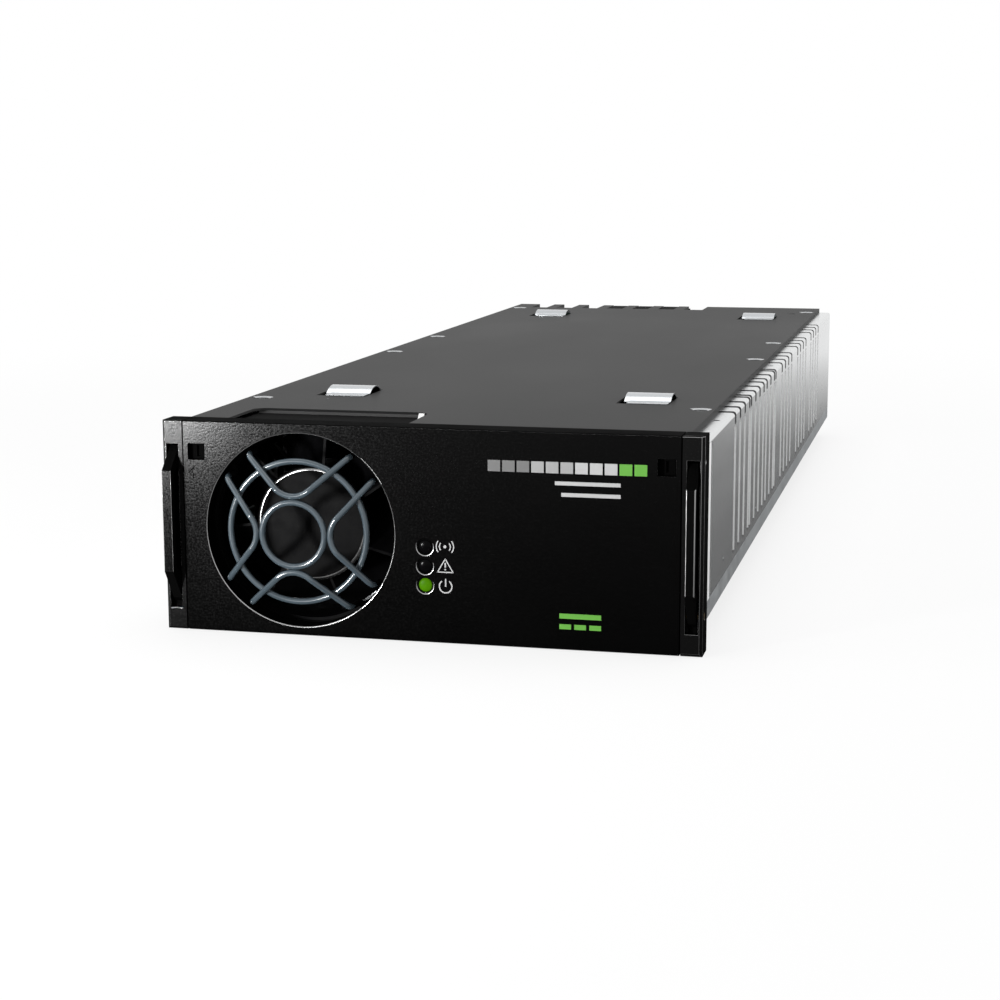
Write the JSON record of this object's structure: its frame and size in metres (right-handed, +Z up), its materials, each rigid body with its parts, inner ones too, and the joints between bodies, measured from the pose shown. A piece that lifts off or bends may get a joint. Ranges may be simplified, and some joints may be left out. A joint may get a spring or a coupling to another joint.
{
  "type": "rack ups power module",
  "caption": "Hot-plug rack UPS power module with a black bezel, a guarded fan inlet, fold-out end handles, status lamps, a slotted steel case and a rear plug.",
  "frame": {"origin": "centre of the overall bounding box in X and Y, on the bezel's lower edge", "axes": "+Y from the bezel to the rear connector, +Z up, +X to the right as seen from the front"},
  "size_m": [0.218, 0.6302, 0.0879],
  "materials": {
    "zinc_steel": "satin zinc plate",
    "pale_steel": "satin zinc plate, pale",
    "bright_steel": "bright plate",
    "grey_cover": "grey satin coating",
    "black_plastic": "fine matt grain",
    "black_handle": "satin",
    "fan_plastic": "satin",
    "guard_wire": "blue-grey zinc",
    "spring_steel": "bright strip",
    "brass_pin": "dull",
    "copper": "enamelled copper",
    "gold_contact": "gold flash",
    "heatsink": "extruded",
    "red_lead": "insulation",
    "grey_ribbon": "insulation",
    "board_green": "solder mask",
    "chip_black": "moulded",
    "ferrite": "sintered",
    "capacitor_sleeve": "shrink sleeve",
    "yellow_film": "moulded box",
    "ceramic": "glazed",
    "clear_sheet": "sheet",
    "clear_resin": "moulded",
    "dark_lens": "polished",
    "green_lens": "polished, lit"
  },
  "bodies": {
    "chassis": {"chassis_pan": "zinc_steel", "left_side_panel": "pale_steel", "right_side_panel": "pale_steel", "top_cover": "grey_cover", "rear_panel": "zinc_steel", "front_frame": "bright_steel", "front_bezel": "black_plastic", "left_handle_housing": "black_plastic", "right_handle_housing": "black_plastic", "left_hinge_pin": "brass_pin", "right_hinge_pin": "brass_pin", "left_catch_spring": "bright_steel", "right_catch_spring": "bright_steel", "fan_guard": "guard_wire", "fan_frame": "fan_plastic", "fan_stator": "copper", "fan_bearings": "bright_steel", "fan_screws": "bright_steel", "fan_lead": "red_lead", "link_lens": "dark_lens", "alarm_lens": "dark_lens", "power_lens": "green_lens", "status_leds": "clear_resin", "display_board": "board_green", "display_screws": "bright_steel", "ribbon_cable": "grey_ribbon", "main_board": "board_green", "control_board": "board_green", "control_chips": "chip_black", "front_heatsink": "heatsink", "rear_heatsink": "heatsink", "power_transistors": "chip_black", "bulk_capacitors": "capacitor_sleeve", "pfc_choke": "copper", "main_transformer": "ferrite", "resonant_inductor": "ferrite", "emi_chokes": "copper", "film_capacitors": "yellow_film", "relays": "chip_black", "fuses": "ceramic", "board_spacers": "brass_pin", "board_screws": "bright_steel", "insulator_sheet": "clear_sheet", "air_baffle": "clear_sheet", "rear_connector": "black_plastic", "connector_pins": "gold_contact", "connector_screws": "bright_steel", "contact_springs": "spring_steel", "cover_screws": "bright_steel", "bezel_screws": "bright_steel", "panel_rivets": "pale_steel"},
    "fan_rotor": {"fan_rotor": "fan_plastic"},
    "left_handle": {"left_handle": "black_handle"},
    "right_handle": {"right_handle": "black_handle"},
    "left_catch": {"left_catch": "black_plastic"},
    "right_catch": {"right_catch": "black_plastic"}
  },
  "joints": [
    {"name": "fan_spin", "type": "hinge", "parent": "chassis", "child": "fan_rotor", "pos_m": [-0.052, -0.27727, 0.04265], "axis": [0, 1, 0], "continuous": true},
    {"name": "left_handle_swing", "type": "hinge", "parent": "chassis", "child": "left_handle", "pos_m": [-0.10475, -0.30057, 0.0151], "axis": [1, 0, 0], "range_deg": [0, 55]},
    {"name": "left_catch_slide", "type": "slide", "parent": "chassis", "child": "left_catch", "axis": [0, 0, 1], "range_m": [-0.0025, 0], "stiffness_N_per_m": 150, "deforming": ["left_catch_spring"]},
    {"name": "right_handle_swing", "type": "hinge", "parent": "chassis", "child": "right_handle", "pos_m": [0.10475, -0.30057, 0.0151], "axis": [1, 0, 0], "range_deg": [0, 55]},
    {"name": "right_catch_slide", "type": "slide", "parent": "chassis", "child": "right_catch", "axis": [0, 0, 1], "range_m": [-0.0025, 0], "stiffness_N_per_m": 150, "deforming": ["right_catch_spring"]}
  ]
}
